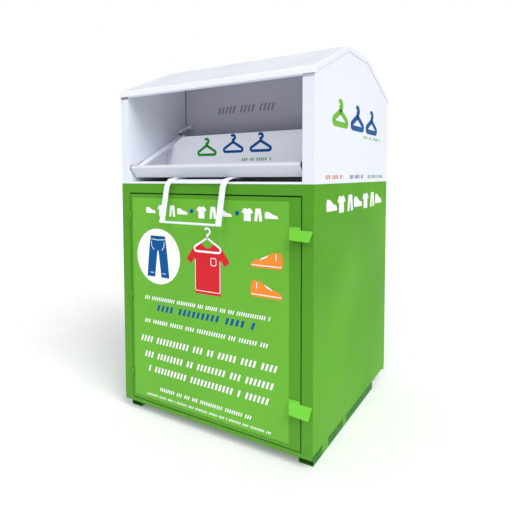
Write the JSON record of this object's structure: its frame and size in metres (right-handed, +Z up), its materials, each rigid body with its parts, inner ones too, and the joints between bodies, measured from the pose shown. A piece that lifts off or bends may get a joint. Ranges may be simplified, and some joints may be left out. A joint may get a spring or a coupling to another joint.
{
  "type": "clothing donation bin",
  "caption": "Sheet-steel clothing donation bin on skids, with a hinged lockable front door, a hipped hood and a tilting bag hopper with a bent handle.",
  "frame": {"origin": "on the ground, in the middle of the whole footprint", "axes": "+X to the right as a person faces the door, +Y to the back, +Z up; the door and the chute face -Y"},
  "size_m": [1.1646, 1.3, 1.985],
  "materials": {
    "frame_green": "satin green paint",
    "side_green": "satin light green paint",
    "sign_green": "printed light green film on paint",
    "skid_green": "worn darker green paint",
    "white": "satin white paint",
    "tray_white": "satin white paint, scuffed",
    "recess_grey": "satin white paint in shade",
    "zinc": "zinc plate",
    "brass": "turned brass",
    "rubber": "black rubber"
  },
  "bodies": {
    "cabinet": {"skid_left": "skid_green", "skid_right": "skid_green", "skid_plates": "side_green", "cross_members": "skid_green", "floor_pan": "skid_green", "lower_side_left": "side_green", "lower_side_right": "side_green", "lower_back": "side_green", "post_left": "frame_green", "post_right": "frame_green", "header": "frame_green", "bottom_rail": "frame_green", "door_stops": "frame_green", "door_seal": "rubber", "hinge_knuckles_frame": "frame_green", "hinge_pins": "zinc", "hood_side_left": "white", "hood_side_right": "white", "hood_back": "white", "roof": "white", "hood_post_left": "white", "hood_post_right": "white", "lintel": "white", "sill_shelf": "white", "recess_wall_left": "recess_grey", "recess_wall_right": "recess_grey", "baffle": "recess_grey", "seam_bolts": "zinc", "pivot_bush_left": "zinc", "pivot_bush_right": "zinc", "rest_stop_left": "recess_grey", "rest_stop_right": "recess_grey", "stop_bumpers": "rubber"},
    "door": {"door_skin": "frame_green", "door_tube_left": "frame_green", "door_tube_right": "frame_green", "door_rails": "frame_green", "door_sign": "sign_green", "hinge_knuckles_door": "frame_green", "lock_hood_lower": "frame_green", "lock_hood_upper": "frame_green", "lock_body_lower": "zinc", "lock_body_upper": "zinc"},
    "lock_lower": {"lock_plug_lower": "brass", "lock_cam_lower": "zinc"},
    "lock_upper": {"lock_plug_upper": "brass", "lock_cam_upper": "zinc"},
    "hopper": {"hopper_lip": "tray_white", "hopper_floor": "tray_white", "hopper_back": "tray_white", "hopper_side_left": "tray_white", "hopper_side_right": "tray_white", "pivot_pin_left": "zinc", "pivot_pin_right": "zinc", "pivot_washers": "zinc", "handle_arm_left": "white", "handle_arm_right": "white", "handle_upper_bar": "white", "handle_grip": "white", "handle_bolts": "zinc"}
  },
  "joints": [
    {"name": "door_swing", "type": "hinge", "parent": "cabinet", "child": "door", "pos_m": [-0.52, -0.569, 0.6565], "axis": [0, 0, -1], "range_deg": [0, 105], "deforming": ["handle_arm_left", "handle_arm_right", "handle_grip"]},
    {"name": "hopper_tilt", "type": "hinge", "parent": "cabinet", "child": "hopper", "pos_m": [0, -0.248, 1.36], "axis": [-1, 0, 0], "range_deg": [0, 105]},
    {"name": "lock_lower_turn", "type": "hinge", "parent": "door", "child": "lock_lower", "pos_m": [0.473, -0.564, 0.272], "axis": [0, -1, 0], "range_deg": [0, 90]},
    {"name": "lock_upper_turn", "type": "hinge", "parent": "door", "child": "lock_upper", "pos_m": [0.473, -0.564, 1.064], "axis": [0, -1, 0], "range_deg": [0, 90]}
  ]
}
